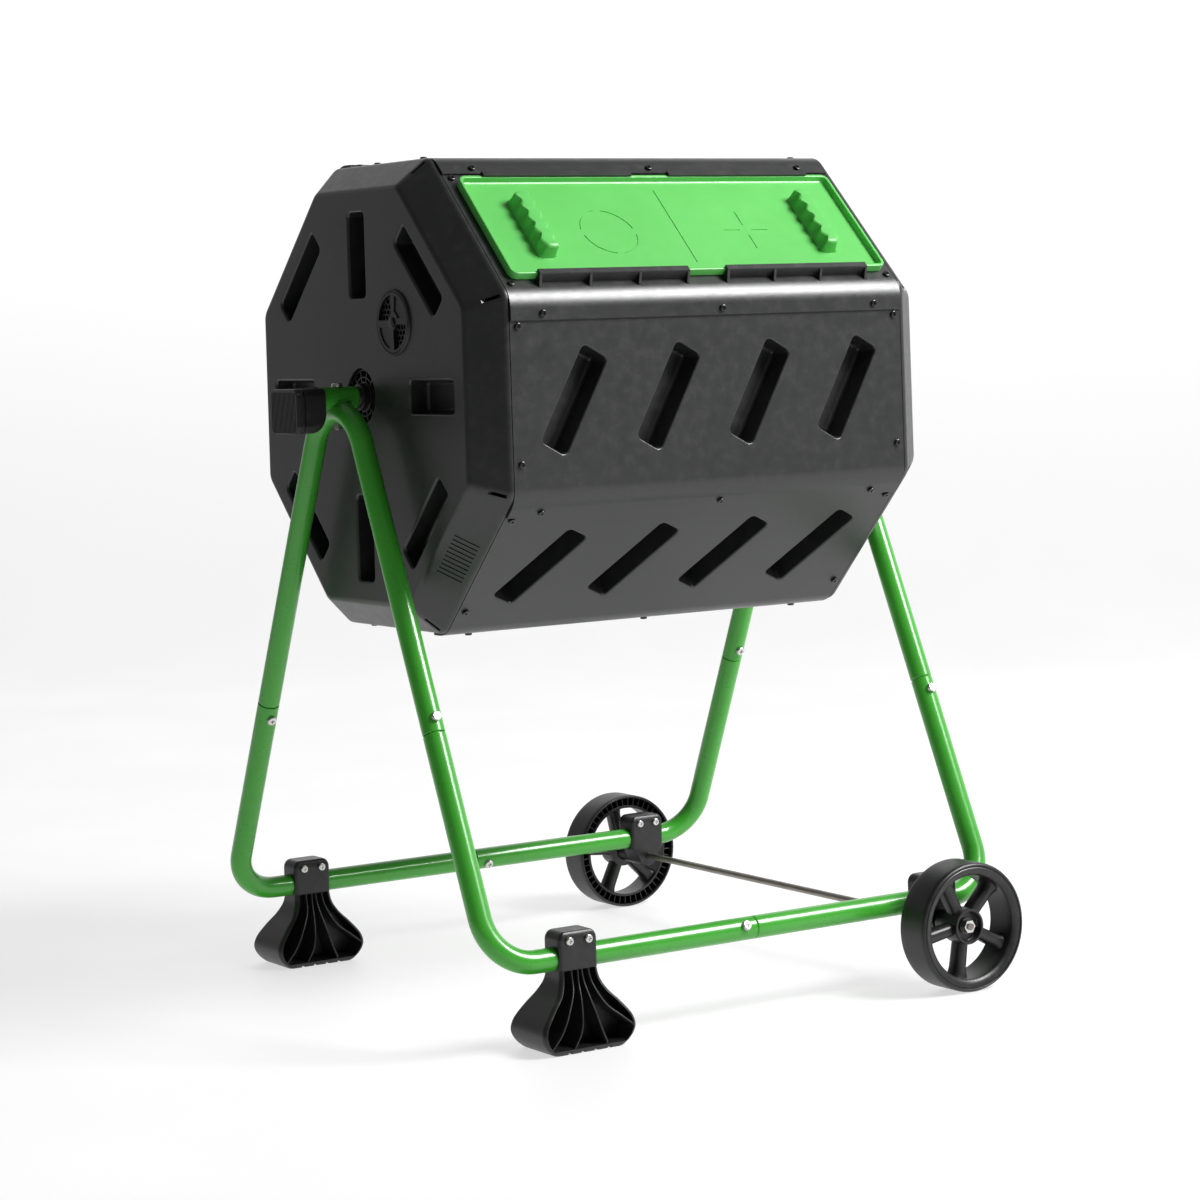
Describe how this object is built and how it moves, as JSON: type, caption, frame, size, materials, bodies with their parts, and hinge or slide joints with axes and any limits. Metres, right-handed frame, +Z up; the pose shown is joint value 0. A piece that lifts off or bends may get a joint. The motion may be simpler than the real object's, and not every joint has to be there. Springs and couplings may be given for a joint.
{
  "type": "compost tumbler",
  "caption": "Eight-sided two-chamber composting drum with a sliding green door, turning on a tube axle between bent-tube A-frames with flared feet and wheels.",
  "frame": {"origin": "on the ground under the middle of the drum", "axes": "+Z up, X along the drum's axle with the wheels at +X, -Y to the front, the side the door faces"},
  "size_m": [0.7894, 0.74, 0.9469],
  "materials": {
    "black_plastic": "fine-grained moulded polypropylene",
    "wheel_plastic": "moulded, slightly worn",
    "green_plastic": "fine-grained moulded polypropylene",
    "green_paint": "smooth powder coat",
    "zinc_steel": "zinc plated",
    "axle_steel": "zinc plated",
    "black_steel": "black coated steel"
  },
  "bodies": {
    "stand": {"left_upper_frame": "green_paint", "right_upper_frame": "green_paint", "front_left_tube": "green_paint", "back_left_tube": "green_paint", "front_right_tube": "green_paint", "back_right_tube": "green_paint", "frame_screws": "zinc_steel", "axle_bolts": "zinc_steel", "axle_nuts": "zinc_steel", "drum_axle": "axle_steel", "left_end_grip": "black_plastic", "right_end_grip": "black_plastic", "front_foot": "black_plastic", "back_foot": "black_plastic", "front_wheel_bracket": "black_plastic", "back_wheel_bracket": "black_plastic", "clamp_screws": "zinc_steel", "clamp_nuts": "zinc_steel", "wheel_axle": "axle_steel", "wheel_washers": "black_steel", "wheel_lock_nuts": "zinc_steel"},
    "drum": {"left_end_cap": "black_plastic", "right_end_cap": "black_plastic", "chamber_divider": "black_plastic", "top_panel": "black_plastic", "door_frame_panel": "black_plastic", "front_panel": "black_plastic", "lower_front_panel": "black_plastic", "bottom_panel": "black_plastic", "lower_back_panel": "black_plastic", "back_panel": "black_plastic", "upper_back_panel": "black_plastic", "left_drum_bush": "black_plastic", "right_drum_bush": "black_plastic", "panel_end_screws": "black_steel", "panel_seam_screws": "black_steel", "left_vent_screen": "black_plastic", "right_vent_screen": "black_plastic"},
    "door": {"sliding_door": "green_plastic"},
    "front_wheel_body": {"front_wheel": "wheel_plastic"},
    "back_wheel_body": {"back_wheel": "wheel_plastic"},
    "left_vent_dial_body": {"left_vent_dial": "black_plastic"},
    "right_vent_dial_body": {"right_vent_dial": "black_plastic"}
  },
  "joints": [
    {"name": "drum_spin", "type": "hinge", "parent": "stand", "child": "drum", "pos_m": [0, 0, 0.681], "axis": [-1, 0, 0], "continuous": true},
    {"name": "door_slide", "type": "slide", "parent": "drum", "child": "door", "axis": [1, 0, 0], "range_m": [-0.245, 0]},
    {"name": "front_wheel_spin", "type": "hinge", "parent": "stand", "child": "front_wheel_body", "pos_m": [0.25, -0.349, 0.0715], "axis": [0, 1, 0], "continuous": true},
    {"name": "back_wheel_spin", "type": "hinge", "parent": "stand", "child": "back_wheel_body", "pos_m": [0.25, 0.349, 0.0715], "axis": [0, 1, 0], "continuous": true},
    {"name": "left_vent_turn", "type": "hinge", "parent": "drum", "child": "left_vent_dial_body", "pos_m": [-0.3, -0.08153, 0.76253], "axis": [-1, 0, 0], "range_deg": [0, 90]},
    {"name": "right_vent_turn", "type": "hinge", "parent": "drum", "child": "right_vent_dial_body", "pos_m": [0.3, -0.08153, 0.76253], "axis": [1, 0, 0], "range_deg": [0, 90]}
  ]
}
